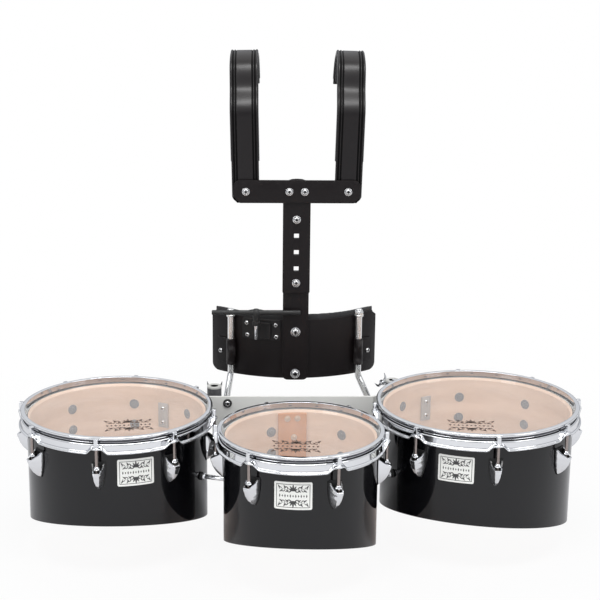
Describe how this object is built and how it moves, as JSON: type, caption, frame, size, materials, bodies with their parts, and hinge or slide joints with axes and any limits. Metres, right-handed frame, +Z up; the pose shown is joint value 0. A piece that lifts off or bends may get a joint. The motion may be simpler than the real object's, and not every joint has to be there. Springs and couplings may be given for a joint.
{
  "type": "marching tenor drum set with shoulder carrier",
  "caption": "Marching tenor drums with slanted open shells, hung by two J-shaped rods on a black shoulder carrier with belly plate, column and arched straps.",
  "frame": {"origin": "middle of the set's footprint on the floor, where the long sides of the three shells stand", "axes": "+Z up, -Y towards the audience, +X to the audience's right, on the side of the largest drum"},
  "size_m": [0.982, 0.623, 0.8206],
  "materials": {
    "black_lacquer": "gloss black lacquer over a wooden shell with a bare wooden inside",
    "clear_film": "clear drum head film",
    "chrome": "polished chrome plate",
    "aluminium": "satin light grey",
    "black_paint": "satin black powder coat",
    "foam": "black foam pad under smooth cloth",
    "rubber": "matt black rubber",
    "grey_steel": "plain grey steel",
    "dark_tube": "rough dark grey",
    "plywood": "orange-brown plywood"
  },
  "bodies": {
    "drums_and_rack": {"left_shell": "black_lacquer", "left_head": "clear_film", "left_hoop": "chrome", "left_lug_1": "chrome", "left_lug_2": "chrome", "left_lug_3": "chrome", "left_lug_4": "chrome", "left_lug_5": "chrome", "left_lug_6": "chrome", "left_lug_7": "chrome", "left_lug_8": "chrome", "centre_shell": "black_lacquer", "centre_head": "clear_film", "centre_hoop": "chrome", "centre_lug_1": "chrome", "centre_lug_2": "chrome", "centre_lug_3": "chrome", "centre_lug_4": "chrome", "centre_lug_5": "chrome", "centre_lug_6": "chrome", "right_shell": "black_lacquer", "right_head": "clear_film", "right_hoop": "chrome", "right_lug_1": "chrome", "right_lug_2": "chrome", "right_lug_3": "chrome", "right_lug_4": "chrome", "right_lug_5": "chrome", "right_lug_6": "chrome", "right_lug_7": "chrome", "right_lug_8": "chrome", "rack_bar": "aluminium", "left_drum_mount": "rubber", "right_drum_mount": "rubber", "centre_drum_bracket": "grey_steel", "left_backing_plate": "grey_steel", "right_backing_plate": "grey_steel", "centre_reinforcement": "plywood", "left_link_rod": "chrome", "right_link_rod": "chrome", "left_receiver": "dark_tube", "right_receiver": "dark_tube"},
    "left_rod": {"left_j_rod": "chrome"},
    "right_rod": {"right_j_rod": "chrome"},
    "left_screw": {"left_wing_screw": "chrome"},
    "right_screw": {"right_wing_screw": "chrome"},
    "harness": {"belly_plate": "black_paint", "belly_pad": "foam", "column": "black_paint", "left_rod_sleeve": "black_paint", "right_rod_sleeve": "black_paint", "key_holder": "black_paint"},
    "shoulder_frame": {"t_bar": "black_paint", "crossbar": "black_paint"},
    "left_strap": {"left_shoulder_strap": "black_paint", "left_shoulder_pad": "foam"},
    "right_strap": {"right_shoulder_strap": "black_paint", "right_shoulder_pad": "foam"},
    "key": {"tuning_key": "rubber"}
  },
  "joints": [
    {"name": "left_rod_slide", "type": "slide", "parent": "drums_and_rack", "child": "left_rod", "axis": [0, 0, 1], "range_m": [-0.05, 0]},
    {"name": "right_rod_slide", "type": "slide", "parent": "drums_and_rack", "child": "right_rod", "axis": [0, 0, 1], "range_m": [-0.05, 0]},
    {"name": "left_screw_turn", "type": "hinge", "parent": "drums_and_rack", "child": "left_screw", "pos_m": [-0.1548, 0.12, 0.217], "axis": [0, 1, 0], "continuous": true},
    {"name": "right_screw_turn", "type": "hinge", "parent": "drums_and_rack", "child": "right_screw", "pos_m": [0.17219, 0.12952, 0.217], "axis": [-0.5736, 0.8192, 0], "continuous": true},
    {"name": "harness_height", "type": "slide", "parent": "left_rod", "child": "harness", "axis": [0, 0, 1], "range_m": [-0.01, 0.042]},
    {"name": "shoulder_height", "type": "slide", "parent": "harness", "child": "shoulder_frame", "axis": [0, 0, 1], "range_m": [-0.03, 0.09]},
    {"name": "left_strap_swivel", "type": "hinge", "parent": "shoulder_frame", "child": "left_strap", "pos_m": [-0.09833, 0.12, 0.5825], "axis": [0, 1, 0], "range_deg": [-8, 12]},
    {"name": "right_strap_swivel", "type": "hinge", "parent": "shoulder_frame", "child": "right_strap", "pos_m": [0.08267, 0.12, 0.5825], "axis": [0, 1, 0], "range_deg": [-12, 8]},
    {"name": "key_lift", "type": "slide", "parent": "harness", "child": "key", "axis": [0, 0, 1], "range_m": [0, 0.04]}
  ],
  "couplings": [
    {"joint": "right_rod_slide", "follows": "left_rod_slide", "ratio": 1}
  ]
}
